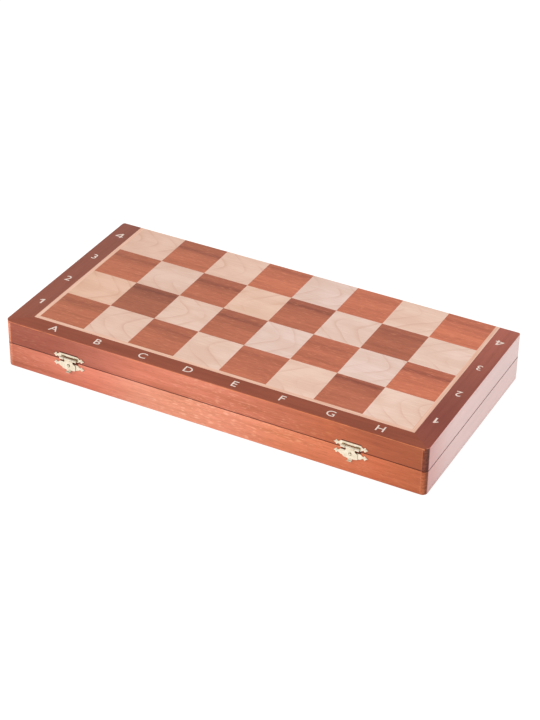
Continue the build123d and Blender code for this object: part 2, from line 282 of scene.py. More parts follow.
def side_wall():
    """Side wall wood under gloss lacquer, its grain along Y."""
    graph = Graph("side_wall_grain_y")
    colour, height = long_grained(graph, graph.lengthways("Y"), wall_tones, 0.12, (0.3, 0.2, 0.1))
    depthwise = graph.y.linear(front, back)
    # Painted sheen on the outer face, paler towards the back
    colour = colour.tinted(depthwise.colours(side_sheen_tint), on_outside(right - abs(graph.x)))
    rubbed_thin = depthwise.eased(0.0, 0.25, 0.35, 1.0)
    lacquer = {"coat_weight": rubbed_thin, "coat_roughness": 0.12, "coat_ior": 2.0}
    haze = {"sheen_weight": 1.0, "sheen_roughness": 0.33}
    return graph.surface(colour, 0.28, 0.8, height, 0.004 * mm, **lacquer, **haze)


def groove_shade():
    """The eased rims where the two halves meet: unpolished and dark, painted shade of the gap between the
    halves.
    """
    graph = Graph("parting_groove")
    mottle = graph.noise(graph.at, (300, 300, 900)).eased(0.35, 0.65)
    return graph.surface(mottle.tones(tone(0.24, 0.10, 0.07), tone(0.40, 0.20, 0.15)), 0.8, 0.1)


def end_grain():
    """Cut ends of the side walls, darker for the stain they drank: fine speckle and curved rings."""
    graph = Graph("side_wall_ends")
    mottle = graph.noise(graph.at, (700, 700, 900)) * 0.4 + graph.noise(graph.at, (160, 160, 420)) * 0.6
    share = mottle.eased(0.38, 0.62)
    upper = share.tones(tone(0.47, 0.215, 0.14), tone(0.57, 0.30, 0.22))
    lower = share.tones(tone(0.68, 0.34, 0.20), tone(0.80, 0.45, 0.30))
    # Painted light: the lower half's ends are lighter than the upper half's
    colour = lower.mixed(upper, graph.z.math("GREATER_THAN", closing))
    # End grain dark, and painted shade on the right ends' rounding, darker towards the side face
    colour = colour.tinted((0.55, 0.60, 0.68), graph.x.eased(right - 3.0 * mm, right - 0.4 * mm))
    pale = share.tones(tone(0.76, 0.43, 0.31), tone(0.88, 0.55, 0.42))
    # Painted light: the left ends are paler
    colour = colour.mixed(pale, graph.x.math("LESS_THAN"))
    return graph.surface(colour, 0.45, 0.25, mottle, 0.02 * mm)


def border_wood(name, along, depth_stops):
    """Dark border veneer under satin lacquer; depth_stops shade it from the case's front to its back."""
    graph = Graph(name)
    colour, height = long_grained(graph, graph.lengthways(along), border_tones, 0.25, (0.3, 0.25, 0.15))
    # Painted sheen: the side strips grow paler towards the back
    colour = colour.tinted(graph.y.linear(front, back).colours(depth_stops))
    return graph.surface(colour, 0.4, 0.25, height, 0.02 * mm)


def in_square(graph, seed):
    """What sets one square's leaf apart, and where the point lies in it. U and v are from -0.5 to 0.5 along
    X and Y, and sideways is from 0 to 1 over the whole board."""
    file_place = (graph.x - squares_low.x) / square
    rank_place = (graph.y - board_front) / square
    rank = rank_place.math("FLOOR")
    half = graph.z.math("GREATER_THAN", closing) + seed
    cell = graph.value("CombineXYZ", {0: file_place.math("FLOOR"), 1: rank, 2: half})
    random = graph.value("TexWhiteNoise", {"Vector": cell}, "Color", noise_dimensions="3D")
    return SimpleNamespace(
        place=graph.vector("ADD", graph.at, graph.vector("MULTIPLY", random, (3, 5, 0))),
        random=graph.parts(random),
        odd_rank=rank.math("FLOORED_MODULO", 2.0),
        u=file_place.math("FRACT") - 0.5,
        v=rank_place.math("FRACT") - 0.5,
        sideways=graph.x.linear(squares_low.x, squares_high.x),
    )


def dark_square_wood():
    """Mahogany squares: each has its own leaf, with a darker band towards its far edge."""
    graph = Graph("mahogany_squares")
    leaf = in_square(graph, 3675028)
    colour, height = long_grained(graph, leaf.place, mahogany_tones, 0.35, (0.4, 0.3, 0.2))
    wander = (graph.figure(leaf.place, 12, 20) - 0.5) * 0.15
    past = leaf.v + wander - leaf.random[0].linear(0, 1, 0.16, 0.42)
    band = abs(past).eased(0.0, 0.09, 0.5, 0) + past.eased(-0.35, 0.0, 0, 0.5)
    colour = colour.mixed(tone(0.54, 0.27, 0.19), band * leaf.random[1].linear(0, 1, 0.15, 0.95))
    flecks = graph.figure(leaf.place, 110, 700).eased(0.54, 0.70, 0, 0.36)
    colour = colour.mixed(tone(0.88, 0.56, 0.41), flecks)
    # Painted light: the squares grow lighter towards the right of the board
    colour = colour.tinted(leaf.sideways.tones((0.92, 0.95, 0.94), (1.12, 1.08, 1.12)))
    colour = colour.tinted(leaf.random[2].linear(0, 1, 0.79, 1.14))
    return graph.surface(colour, 0.36, 0.25, height, 0.02 * mm)


def light_square_wood():
    """Maple squares cut across the cathedral figure: a few pointed rings, turned about from rank to rank."""
    graph = Graph("maple_squares")
    leaf = in_square(graph, 6810)
    turned_u = leaf.u * leaf.odd_rank.linear(0, 1, 1, -1)
    warp = (graph.noise(leaf.place, (24, 36, 24), 0) - 0.5) * 0.3
    off = leaf.v - leaf.random[0].linear(0, 1, -0.14, 0.18)
    legs = (off * off + 0.02).math("SQRT")
    rings = (turned_u - legs * 1.3 + warp + leaf.random[1]) * 2.3
    edge = rings.math("FRACT")
    line = edge.math("POWER", 8.0).math("MAXIMUM", edge.eased(0.0, 0.06, 0.9, 0))
    faded = graph.noise(leaf.place, (30, 30, 30), 1).eased(0.36, 0.60, 0.1, 1)
    fleck = graph.figure(leaf.place, 70, 900)
    grain = fleck * 0.4 + graph.noise(leaf.place, (18, 40, 18), 1) * 0.6
    base = grain.eased(0.36, 0.64).tones(tone(0.89, 0.745, 0.67), tone(0.93, 0.80, 0.735))
    colour = base.mixed(tone(0.82, 0.63, 0.54), line * faded * 0.5)
    colour = colour.tinted(leaf.random[2].tones((1.015, 0.97, 0.915), (0.985, 1.03, 1.085)))
    # Painted light: the squares grow lighter towards the right of the board
    colour = colour.tinted(leaf.sideways.tones((0.98, 0.91, 0.85), (1.04, 1.04, 1.03), (1.09, 1.10, 1.10)))
    return graph.surface(colour, 0.38, 0.25, fleck, 0.01 * mm)


def plain_maple(name, along):
    """Straight-grained light strip."""
    graph = Graph(name)
    fleck = graph.figure(graph.lengthways(along), 30, 900).eased(0.35, 0.65)
    return graph.surface(fleck.tones(tone(0.91, 0.71, 0.61), tone(0.95, 0.78, 0.69)), 0.38, 0.25)


def print_paint():
    """Pale lettering let into the border."""
    graph = Graph("pale_lettering")
    mottle = graph.noise(graph.at, (900, 900, 900)).eased(0.3, 0.7)
    return graph.surface(mottle.tones(tone(0.90, 0.80, 0.74), tone(0.97, 0.90, 0.86)), 0.4, 0.3)


def turned_wood(name, dark, light):
    """Polished wood of the men, its grain along Y as they lie."""
    graph = Graph(name)
    grain_place = graph.lengthways("Y")
    streak = graph.figure(grain_place, 25, 420, 3)
    fine = graph.figure(grain_place, 90, 2200, 1)
    colour = (streak * 0.7 + fine * 0.3).eased(0.36, 0.64).tones(dark, light)
    return graph.surface(colour, 0.28, 0.5, fine, 0.01 * mm, coat_weight=0.6, coat_roughness=0.1)


def divider_wood():
    """Thin unstained slats."""
    graph = Graph("divider_slats")
    colour, height = long_grained(graph, graph.lengthways("Y"), slat_tones, 0.3)
    return graph.surface(colour, 0.55, 0.3, height, 0.03 * mm)


def felt_cloth(name, deep, pale):
    """Pressed felt: crossed fibres, a soft sheen and no gloss."""
    graph = Graph(name)
    fibres = graph.noise(graph.at, (2600, 700, 2600))
    crossing = graph.noise(graph.at, (700, 2600, 2600))
    clumps = graph.noise(graph.at, (160, 160, 160), 3)
    nap = fibres * 0.4 + crossing * 0.4 + clumps * 0.2
    colour = nap.eased(0.38, 0.62).tones(deep, pale)
    return graph.surface(colour, 0.95, 0.1, nap, 0.15 * mm, sheen_weight=0.35)


def brass_metal(name, dull, bright, roughness, edge_shade):
    """Plated stamping with faint rubbing marks. Roughness is its lowest and highest. Its last argument is
    the share of painted shade on edges that face up or to the right, at the left and at the right of the
    case."""
    graph = Graph(name)
    clouds = graph.noise(graph.at, (260, 260, 260), 3)
    rubs = graph.noise(graph.at, (900, 900, 6000))
    facing = graph.parts(graph.value("TexCoord", output="Normal"))
    # Painted shade on edges that face up or to the right
    ledge = facing[2].math("MAXIMUM", facing[0]).eased(0.6, 0.9)
    edge_shaded = ledge * graph.x.eased(-square, square, *edge_shade)
    colour = clouds.eased(0.35, 0.65).tones(dull, bright).mixed(tone(0.42, 0.30, 0.18), edge_shaded)
    return graph.surface(colour, rubs.eased(0.35, 0.65, *roughness), 0.5, rubs, 0.004 * mm, metallic=1.0)


white = (1.0, 1.0, 1.0)
wall_tones = (tone(0.78, 0.43, 0.31), tone(0.86, 0.49, 0.38), tone(0.92, 0.55, 0.44))
mahogany_tones = (tone(0.67, 0.375, 0.26), tone(0.745, 0.42, 0.30), tone(0.80, 0.465, 0.335))
border_tones = (tone(0.51, 0.23, 0.143), tone(0.574, 0.28, 0.182), tone(0.618, 0.312, 0.208))
slat_tones = (tone(0.66, 0.47, 0.32), tone(0.76, 0.57, 0.40), tone(0.83, 0.65, 0.48))
# How the stain and painted light shade the walls from the left end to the right: a painted pool of light in
# the middle, and the lower half painted lighter
upper_stain_and_light = [
    (0.0, (0.46, 0.365, 0.335)), (0.11, (0.47, 0.375, 0.35)), (0.22, (0.62, 0.58, 0.60)),
    (0.33, (0.85, 0.83, 0.82)), (0.44, (0.90, 0.94, 0.93)), (0.56, (0.89, 0.91, 0.88)),
    (0.67, (0.80, 0.76, 0.67)), (0.78, (0.76, 0.65, 0.43)), (0.89, (0.60, 0.47, 0.30)),
    (1.0, (0.58, 0.47, 0.27)),
]
lower_stain_and_light = [
    (0.0, (0.74, 0.68, 0.63)), (0.22, (0.99, 0.96, 1.0)), (0.33, (1.10, 1.44, 1.56)),
    (0.45, (1.20, 1.58, 1.66)), (0.56, (1.18, 1.44, 1.50)), (0.67, (1.10, 1.20, 1.03)),
    (0.78, (1.04, 1.02, 0.80)), (0.89, (0.88, 0.74, 0.50)), (1.0, (0.74, 0.64, 0.40)),
]
# Painted sheen: how the side walls' outer face is tinted from front to back, redder at the front and paler
# behind
side_sheen_tint = [(0.0, (0.88, 0.42, 0.38)), (0.15, (1.0, 0.75, 0.75)), (0.35, (1.08, 1.1, 1.25))]
# Painted shade of the gap between the halves, with a painted highlight on the lower rim just under it, from
# 4 mm below the closing plane to 4 mm above it
parting_stops = [
    (0.33, white),
    (0.36, (1.06, 1.10, 1.10)),
    (0.48, (1.06, 1.10, 1.10)),
    (0.50, (0.5, 0.4, 0.4)),
    (0.515, (0.22, 0.14, 0.12)),
    (0.625, (0.24, 0.16, 0.14)),
    (0.66, (0.9, 0.85, 0.85)),
    (1.0, white),
]
# How the border's strips shade from the front of the case to the back: the side strips grow paler towards
# the back, painted sheen
plain_depth = [(0.0, white)]
left_depth = [(0.0, (1.0, 1.1, 1.27)), (0.2, (0.98, 1.25, 1.65)), (1.0, (0.94, 1.22, 1.76))]
right_depth = [
    (0.0, (0.96, 0.97, 1.23)),
    (0.2, (0.84, 0.80, 1.20)),
    (0.5, (0.98, 1.10, 1.59)),
    (1.0, (1.47, 1.84, 2.86)),
]
latch_tones = (tone(0.91, 0.86, 0.76), tone(0.965, 0.92, 0.835))
hinge_tones = (tone(0.80, 0.66, 0.38), tone(0.90, 0.78, 0.52))
material = {
    # The upper and lower walls are one wood; the lower walls' copy is painted lighter, painted light from
    # the table below
    "upper_cross": cross_wall("upper_wall_grain_x", upper_stain_and_light),
    "lower_cross": cross_wall("lower_wall_grain_x", lower_stain_and_light),
    "side": side_wall(),
    "ends": end_grain(),
    "groove": groove_shade(),
    "border_x": border_wood("border_grain_x", "X", plain_depth),
    "border_left": border_wood("border_left_grain_y", "Y", left_depth),
    "border_right": border_wood("border_right_grain_y", "Y", right_depth),
    "dark_squares": dark_square_wood(),
    "light_squares": light_square_wood(),
    "strip_x": plain_maple("stringing_grain_x", "X"),
    "strip_y": plain_maple("stringing_grain_y", "Y"),
    "lettering": print_paint(),
    "boxwood": turned_wood("boxwood_men", tone(0.82, 0.64, 0.40), tone(0.92, 0.77, 0.54)),
    "rosewood": turned_wood("rosewood_men", tone(0.24, 0.10, 0.06), tone(0.42, 0.20, 0.12)),
    "divider": divider_wood(),
    "felt": felt_cloth("green_felt", tone(0.07, 0.22, 0.13), tone(0.14, 0.36, 0.22)),
    "latch": brass_metal("latch_brass", *latch_tones, roughness=(0.22, 0.34), edge_shade=(0.52, 0.16)),
    "hinge": brass_metal("hinge_brass", *hinge_tones, roughness=(0.22, 0.4), edge_shade=(0.0, 0.0)),
}


# Meshes

flat_area = 30 * mm * mm
near = 0.02 * mm
still = Matrix.Identity(4)


def placed(name, data):
    """A new object in the scene."""
    made = bpy.data.objects.new(name, data)
    bpy.context.scene.collection.objects.link(made)
    return made


def final_mesh(made):
    """The mesh of an object as its curve or modifiers make it."""
    return bpy.data.meshes.new_from_object(made.evaluated_get(bpy.context.evaluated_depsgraph_get()))


def piece(node, kind, shape, body, looks, smooth=32):
    """Makes an object of a bmesh that is in its place. It rides on its body and replaces its node."""
    bmesh.ops.recalc_face_normals(shape, faces=shape.faces)
    mesh = bpy.data.meshes.new(f"{node}_{kind}")
    shape.to_mesh(mesh)
    shape.free()
    for look in looks:
        mesh.materials.append(material[look])
    mesh.shade_smooth()
    mesh.set_sharp_from_angle(angle=radians(smooth))
    for polygon in mesh.polygons:
        polygon.use_smooth = polygon.area < flat_area
    made = placed(mesh.name, mesh)
    # Flat faces stay evenly lit beside their rounded edges
    made.modifiers.new("weighted", "WEIGHTED_NORMAL").keep_sharp = True
    made.data = final_mesh(made)
    made.modifiers.clear()
    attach(made, body)
    if node in frame["nodes"]:
        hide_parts(node)
    return made


def cad_shape(node):
    """A fresh bmesh of a CAD node, its split corners merged and its flat triangles joined."""
    source = frame["nodes"][node].data
    shape = bmesh.new()
    corners = [shape.verts.new(vertex.co) for vertex in source.vertices]
    for polygon in source.polygons:
        shape.faces.new([corners[index] for index in polygon.vertices])
    bmesh.ops.remove_doubles(shape, verts=shape.verts, dist=0.002 * mm)
    bmesh.ops.dissolve_limit(shape, angle_limit=radians(0.5), verts=shape.verts, edges=shape.edges)
    # Two strips that meet at a joint have a face each there, unseen: both go
    met = {}
    for face in shape.faces:
        met.setdefault(frozenset(face.verts), []).append(face)
    hidden = [face for faces in met.values() if len(faces) > 1 for face in faces]
    bmesh.ops.delete(shape, geom=hidden, context="FACES")
    return shape


def soften(shape, radius, chosen=lambda point: True, steps=3, angle=30):
    """Rounds the edges that are sharper than an angle and whose two ends pass a test."""
    edges = [
        edge
        for edge in shape.edges
        if len(edge.link_faces) == 2
        and edge.calc_face_angle() > radians(angle)
        and all(chosen(vertex.co) for vertex in edge.verts)
    ]
    bmesh.ops.bevel(
        shape, geom=edges, offset=radius, segments=steps, profile=0.5, affect="EDGES", clamp_overlap=True
    )


def on_outline(point):
    """Whether a point lies on the outer outline of the case's plan."""
    if abs(point.x) > right - near or point.y < front + near or point.y > back - near:
        return True
    in_front_corner = point.y < front + front_corner
    corner = front_corner if in_front_corner else back_corner
    return abs(point.x) > right - corner and (in_front_corner or point.y > back - back_corner)


def mirrored(half, height):
    """A height on the upper half, or the same one on the lower half."""
    return height if half == "upper" else 2 * closing - height


def at_height(half, height):
    """A test for points of a half's outer outline at one height."""
    level = mirrored(half, height)
    return lambda point: abs(point.z - level) < near and on_outline(point)


# Case

rim_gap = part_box("upper_front_wall")[0].z - closing
rim_ease = 0.4 * mm
top_ease = 0.3 * mm
joint_ease = 0.10 * mm


def share_out(shape, choose):
    """Gives each face the material that a test picks for it."""
    shape.normal_update()
    for face in shape.faces:
        face.material_index = choose(face)


def wall(half, name, grain):
    """One wall with its eased rim and the hairlines of its joints; a rounded end shows end grain."""
    node = half + "_" + name
    shape = cad_shape(node)
    soften(shape, rim_ease, at_height(half, closing + rim_gap))
    soften(shape, joint_ease, at_height(half, wall_top), 1)
    soften(shape, joint_ease, lambda point: abs(abs(point.x) - side_joint) < near and on_outline(point), 1)
    on_side = grain == "side"

    def look(face):
        # Rim faces of the upper half, and of both halves on the side walls, take the groove material:
        # painted shade of the gap
        near_rim = abs(face.calc_center_median().z - closing) < rim_gap + rim_ease
        if near_rim and abs(face.normal.z) < 0.985 and (on_side or half == "upper"):
            return 2
        return int(on_side and abs(face.normal.y) > 0.3)

    share_out(shape, look)
    piece(node, "wood", shape, half + "_half", [grain, "ends", "groove"])


def core_look(face):
    """0 for the front and back edges of a board core, 1 for its sides and 2 for its rounded corners."""
    across = abs(face.normal.x)
    return 1 if across > 0.95 else 2 * int(across > 0.3)


def strip_look(face):
    """0 for a strip along X, 1 for the left strip along Y and 2 for the right one."""
    middle = face.calc_center_median()
    if middle.y < board_front:
        return 0
    return 1 if middle.x < 0 else 2


def border_look(face):
    """As the strips, but 3 for the front and back edges and 4 for the side edges."""
    across = abs(face.normal.x)
    steepest = 0.5 if abs(face.normal.y) > across else 0.9
    return 3 + int(across > 0.5) if abs(face.normal.z) < steepest else strip_look(face)


def veneered(half, name, looks, choose=lambda face: 0, height=lid_top, radius=top_ease, sunk=0.0):
    """A layer of the board with its outer edge eased, its face sunk a hair where lettering lies on it."""
    node = half + "_" + name
    shape = cad_shape(node)
    face_level = mirrored(half, lid_top)
    for vertex in shape.verts:
        if abs(vertex.co.z - face_level) < 0.001 * mm:
            vertex.co.z = mirrored(half, lid_top - sunk)
    soften(shape, radius, at_height(half, height))
    share_out(shape, choose)
    piece(node, "wood", shape, half + "_half", looks)


halves = ("upper", "lower")
for half in halves:
    edges = [half + "_cross", "side"]
    for sides, grain in zip((("front", "back"), ends), edges):
        for side in sides:
            wall(half, side + "_wall", grain)
    veneered(half, "board_core", [*edges, "ends"], core_look, wall_top, joint_ease)
    veneered(half, "dark_squares", ["dark_squares"])
    veneered(half, "light_squares", ["light_squares"])
    veneered(half, "stringing", ["strip_x", "strip_y", "strip_y"], strip_look)
    border = ["border_x", "border_left", "border_right", *edges]
    veneered(half, "border_veneer", border, border_look, sunk=letter_depth / 2)


# Outlines, in millimetres


def arc(centre_x, centre_y, radius, start, end, steps=8):
    """Points of an arc, angles in degrees, both ends included."""
    turns = [radians(start + (end - start) * index / steps) for index in range(steps + 1)]
    return [(centre_x + radius * cos(turn), centre_y + radius * sin(turn)) for turn in turns]


def bent(start, control, end, steps=6):
    """Points of a curve between two points that leans towards a third, the start left out."""
    points = []
    for index in range(1, steps + 1):
        share = index / steps
        first = [a + (b - a) * share for a, b in zip(start, control)]
        second = [a + (b - a) * share for a, b in zip(control, end)]
        points.append(tuple(a + (b - a) * share for a, b in zip(first, second)))
    return points


def mesh_of(curve):
    """The mesh that a curve or a text makes."""
    holder = placed("drawn", curve)
    bpy.context.view_layer.update()
    mesh = final_mesh(holder)
    bpy.data.objects.remove(holder)
    return mesh


def stamped(outline, holes=(), thickness=0.8, ease=0.2):
    """A bmesh of a flat plate with rounded edges, its back at height 0, cut to an outline with holes."""
    curve = bpy.data.curves.new("plate", "CURVE")
    curve.dimensions = "2D"
    curve.fill_mode = "BOTH"
    curve.extrude = thickness / 2 - ease
    curve.bevel_depth = ease
    curve.bevel_resolution = 2
    curve.offset = -ease
    for points in (outline, *holes):
        spline = curve.splines.new("POLY")
        spline.points.add(len(points) - 1)
        for point, (x, y) in zip(spline.points, points):
            point.co = (x, y, 0, 1)
        spline.use_cyclic_u = True
    mesh = mesh_of(curve)
    mesh.transform(Matrix.Translation((0, 0, thickness / 2)))
    shape = bmesh.new()
    shape.from_mesh(mesh)
    bpy.data.meshes.remove(mesh)
    bmesh.ops.remove_doubles(shape, verts=shape.verts, dist=0.001)
    return shape


def bridged(shape, rings):
    """Faces between closed rings of corners, one ring after another."""
    for below, above in zip(rings, rings[1:]):
        for index in range(len(below)):
            after = (index + 1) % len(below)
            shape.faces.new([below[index], below[after], above[after], above[index]])


def skinned(shape, rings):
    """A closed skin over rings of points."""
    rings = [[shape.verts.new(point) for point in ring] for ring in rings]
    shape.faces.new(rings[0][::-1])
    shape.faces.new(rings[-1])
    bridged(shape, rings)


def rolled(path, thickness, start, end, ease=0.12):
    """A bmesh of a bent strip from start to end in X; path is its middle line: distance out and height."""
    sides = ([], [])
    for index, (out, up) in enumerate(path):
        before = path[max(index - 1, 0)]
        after = path[min(index + 1, len(path) - 1)]
        run = Vector((after[0] - before[0], after[1] - before[1])).normalized()
        across = Vector((-run.y, run.x)) * thickness / 2
        sides[0].append((out + across.x, up + across.y))
        sides[1].append((out - across.x, up - across.y))
    section = sides[0] + sides[1][::-1]
    shape = bmesh.new()
    skinned(shape, [[(x, up, out) for out, up in section] for x in (start, end)])
    bmesh.ops.recalc_face_normals(shape, faces=shape.faces)
    soften(shape, ease, steps=2, angle=40)
    return shape


def circle(radius, height, count):
    """Points spaced evenly round the Z axis."""
    turns = [2 * pi * index / count for index in range(count)]
    return [(radius * cos(turn), radius * sin(turn), height) for turn in turns]


def turned(profile, sides=24):
    """A bmesh turned about Z: profile is radius and height from the bottom up, closed at both ends."""
    shape = bmesh.new()
    skinned(shape, [circle(radius, height, sides) for radius, height in profile])
    return shape


def joined(parts):
    """One bmesh of several, each with its place."""
    whole = bmesh.new()
    for shape, place in parts:
        mesh = bpy.data.meshes.new("part")
        shape.to_mesh(mesh)
        shape.free()
        mesh.transform(place)
        whole.from_mesh(mesh)
        bpy.data.meshes.remove(mesh)
    return whole


# File letters and rank numbers

cap_height = 9.3 * mm
letter_width = 1.12
stroke_gain = 0.004
# In squares: how far each line of characters is from the board, and where a character stands in its square
letter_line = 0.26
left_number_line = 0.297
right_number_line = 0.285
along_square = 0.49
right_along_square = 0.46
# Two numbers have their own shapes, one unit tall: an outline, and the holes in it
drawn_numbers = {
    "1": ([(0.04, 0), (0.23, 0), (0.23, 1), (0.09, 1), (-0.26, 0.70), (-0.17, 0.57), (0.04, 0.74)], []),
    "4": (
        [
            (0.46, 0), (0.64, 0), (0.64, 0.20), (0.80, 0.20), (0.80, 0.35), (0.64, 0.35), (0.64, 1),
            (0.42, 1), (-0.08, 0.36), (-0.08, 0.20), (0.46, 0.20),
        ],
        [[(0.10, 0.35), (0.46, 0.35), (0.46, 0.80)]],
    ),
}


def glyph_mesh(character):
    """One character as a mesh about its middle, one unit tall."""
    if character in drawn_numbers:
        shape = stamped(*drawn_numbers[character], 1.0, 0.0)
        mesh = bpy.data.meshes.new("glyph")
        shape.to_mesh(mesh)
        shape.free()
    else:
        text = bpy.data.curves.new("glyph", "FONT")
        text.body = character
        text.extrude = 0.5
        text.offset = stroke_gain
        text.resolution_u = 6
        mesh = mesh_of(text)
    corners = [vertex.co for vertex in mesh.vertices]
    low = Vector([min(corner[axis] for corner in corners) for axis in range(3)])
    high = Vector([max(corner[axis] for corner in corners) for axis in range(3)])
    size = high.y - low.y
    fit = Matrix.Diagonal((letter_width / size, 1 / size, 1.0, 1.0))
    mesh.transform(fit @ Matrix.Translation(-(low + high) / 2))
    return mesh


def coordinates(half):
    """Letters along the outer border and numbers up both sides, as a half is read from its player's side."""
    shape = bmesh.new()
    upper = half == "upper"
    outward = Vector((0, 0, 1 if upper else -1))
    sunk = mirrored(half, lid_top) - outward.z * letter_depth / 2

    def lay(character, x, y, across):
        """Lays a character into the border, its own X along across."""
        axes = (across * cap_height, outward.cross(across) * cap_height, outward * letter_depth)
        mesh = glyph_mesh(character)
        mesh.transform(Matrix.Translation((x, y, sunk)) @ Matrix(axes).transposed().to_4x4())
        shape.from_mesh(mesh)
        bpy.data.meshes.remove(mesh)

    along = Vector((1, 0, 0))
    for index, letter in enumerate("ABCDEFGH"):
        x = squares_low.x + (index + along_square) * square
        lay(letter, x, board_front - letter_line * square, along if upper else -along)
    left_x = squares_low.x - left_number_line * square
    right_x = squares_high.x + right_number_line * square
    for index, number in enumerate("1234" if upper else "8765"):
        lay(number, left_x, board_front + (index + along_square) * square, along)
        lay(number, right_x, board_front + (index + right_along_square) * square, -along)
    bmesh.ops.remove_doubles(shape, verts=shape.verts, dist=0.001 * mm)
    piece(half, "coordinates", shape, half + "_half", ["lettering"])


for half in halves:
    coordinates(half)


# Latches, drawn against the wall: X along it, Y up from the closing plane, Z out from it

plate_thickness = 0.8
plate_half_width = 11.4
wing_root = 14.2
wing_neck = 1.1
wing_widest = 15.9
wing_spread = 2.8
latch_half_width = 19.2
band_top = 8.3
band_middle = 4.8
band_bottom = 1.6
pivot_height = 3.4
ear_radius = 1.8
ear_inner = 5.2
ear_outer = 10.2
ear_turn = 262.0
ear_gap = 0.15
latch_pin_radius = 0.7
peened_radius = 0.45
peened_length = 0.25
hasp_roll_radius = 1.5
hasp_roll_half = 4.9
hasp_roll_thickness = 0.74
hasp_roll_gap = 0.25
hasp_back = 1.0
neck_half_width = 4.8
neck_bottom = 0.4
shield_half_width = 8.0
shield_top = -3.8
shield_bottom = -8.2
hasp_bottom = -10.0
catch_top = -1.8
catch_middle = -5.2
catch_shoulder = -8.0
catch_bottom = -10.3
catch_foot_half = 5.5
nib_height = -4.4
hole_radius = 1.9
curl_drop = -10.4
curl_radius = 1.6
curl_turn = 120.0
lip_half_width = 2.4


def wing(height, top, bottom):
    """The right wing's outline from the plate's upper corner to its lower one: neck, leaf and drawn tip."""
    root = (wing_root, wing_neck)
    widest = (wing_widest, wing_spread)
    leaf = [root, *bent(root, (wing_root + 0.35, wing_spread - 0.3), widest, 4)]
    leaf += bent(widest, (wing_widest + 1.0, 0.55), (latch_half_width, 0.0), 6)
    leaf = [(x, height + y) for x, y in leaf + [(x, -y) for x, y in reversed(leaf[:-1])]]
    lean = plate_half_width + 0.7
    upper = bent((plate_half_width, top), (lean, (top + leaf[0][1]) / 2 - 0.25), leaf[0], 4)
    lower = bent(leaf[-1], (lean, (bottom + leaf[-1][1]) / 2 + 0.25), (plate_half_width, bottom), 4)
    return [*upper[:-1], *leaf, *lower]


def winged(top, middle, bottom):
    """The right side of a plate from its top to the foot of its wing."""
    return [(plate_half_width - 0.7, top), (plate_half_width, top - 0.3), *wing(middle, top - 0.3, bottom)]


def both_sides(right_side):
    """A closed outline from its right side, listed from the top down."""
    return right_side + [(-x, y) for x, y in reversed(right_side)]


def latch_place(end):
    """Where a latch's drawing goes on the front wall, by its own hasp's pivot."""
    middle = joints[end + "_hasp_pivot"]["pos_m"][0]
    stand = Matrix.Rotation(pi / 2, 4, "X")
    return Matrix.Translation((middle, front, closing)) @ stand @ Matrix.Scale(mm, 4)


def top_plate():
    room = hasp_roll_half + hasp_roll_gap
    plate = stamped(both_sides([
        *winged(band_top, band_middle, band_bottom + 0.3),
        (plate_half_width - 0.5, band_bottom),
        (ear_outer + ear_gap, band_bottom),
        (ear_outer + ear_gap, pivot_height),
        (room, pivot_height),
        (room, pivot_height + ear_radius),
    ]))
    roll = arc(ear_radius, pivot_height, ear_radius - plate_thickness / 2, 180, 180 + ear_turn, 28)
    left_ear = rolled(roll, plate_thickness, -ear_outer, -ear_inner)
    right_ear = rolled(roll, plate_thickness, ear_inner, ear_outer)
    return [(plate, still), (left_ear, still), (right_ear, still)]


def catch_plate():
    shoulder = (plate_half_width, catch_shoulder)
    plate = stamped(both_sides([
        *winged(catch_top, catch_middle, catch_shoulder),
        *bent(shoulder, (9.0, -8.5), (catch_foot_half, catch_bottom)),
    ]))
    nib = [(1.2, 0), (1.2, 1.3), (1.05, 1.65), (0.7, 1.85), (0.2, 1.9)]
    return [(plate, still), (turned(nib), Matrix.Translation((0, nib_height, plate_thickness)))]


def hasp():
    """The hasp: stamped shield, rolled knuckle above it and curled lip below."""
    neck_end = (neck_half_width, neck_bottom)
    side_bottom = (shield_half_width, shield_bottom)
    right_side = [
        (neck_half_width, neck_bottom + 0.5),
        neck_end,
        *bent(neck_end, (5.1, -1.2), (6.6, -2.0)),
        *bent((6.6, -2.0), (7.9, -2.6), (shield_half_width, shield_top)),
        side_bottom,
        *bent(side_bottom, (8.0, -9.3), (7.0, -9.45)),
        *bent((7.0, -9.45), (5.0, -9.7), (lip_half_width + 1.0, hasp_bottom)),
        (lip_half_width, hasp_bottom - 0.15),
        (lip_half_width, curl_drop),
    ]
    hole = arc(0, nib_height, hole_radius, 0, 345, 23)
    shield = stamped(both_sides(right_side), [hole])
    middle_out = hasp_back + plate_thickness / 2
    roll_middle = hasp_roll_radius - hasp_roll_thickness / 2
    rise_start = neck_bottom + 0.3
    swell = ear_radius + roll_middle - middle_out
    steps = 8
    rise = []
    for index in range(steps):
        out = middle_out + swell * (1 - cos(pi * index / steps)) / 2
        rise.append((out, rise_start + (pivot_height - rise_start) * index / steps))
    roll = arc(ear_radius, pivot_height, roll_middle, 0, 232, 22)
    path = [(middle_out, neck_bottom - 0.3), *rise, *roll]
    knuckle = rolled(path, hasp_roll_thickness, -hasp_roll_half, hasp_roll_half)
    curl = arc(middle_out + curl_radius, curl_drop, curl_radius, 180, 180 + curl_turn, 14)
    lip = rolled([(middle_out, curl_drop + 0.3), *curl], plate_thickness, -lip_half_width, lip_half_width)
    return [(shield, Matrix.Translation((0, 0, hasp_back))), (knuckle, still), (lip, still)]


def latch_pin():
    """The pin, its ends peened over the ears."""
    upper_end = [(latch_pin_radius, ear_outer - peened_length), (peened_radius, ear_outer)]
    pin = turned([(radius, -height) for radius, height in reversed(upper_end)] + upper_end)
    return [(pin, Matrix.Translation((0, pivot_height, ear_radius)) @ Matrix.Rotation(pi / 2, 4, "Y"))]


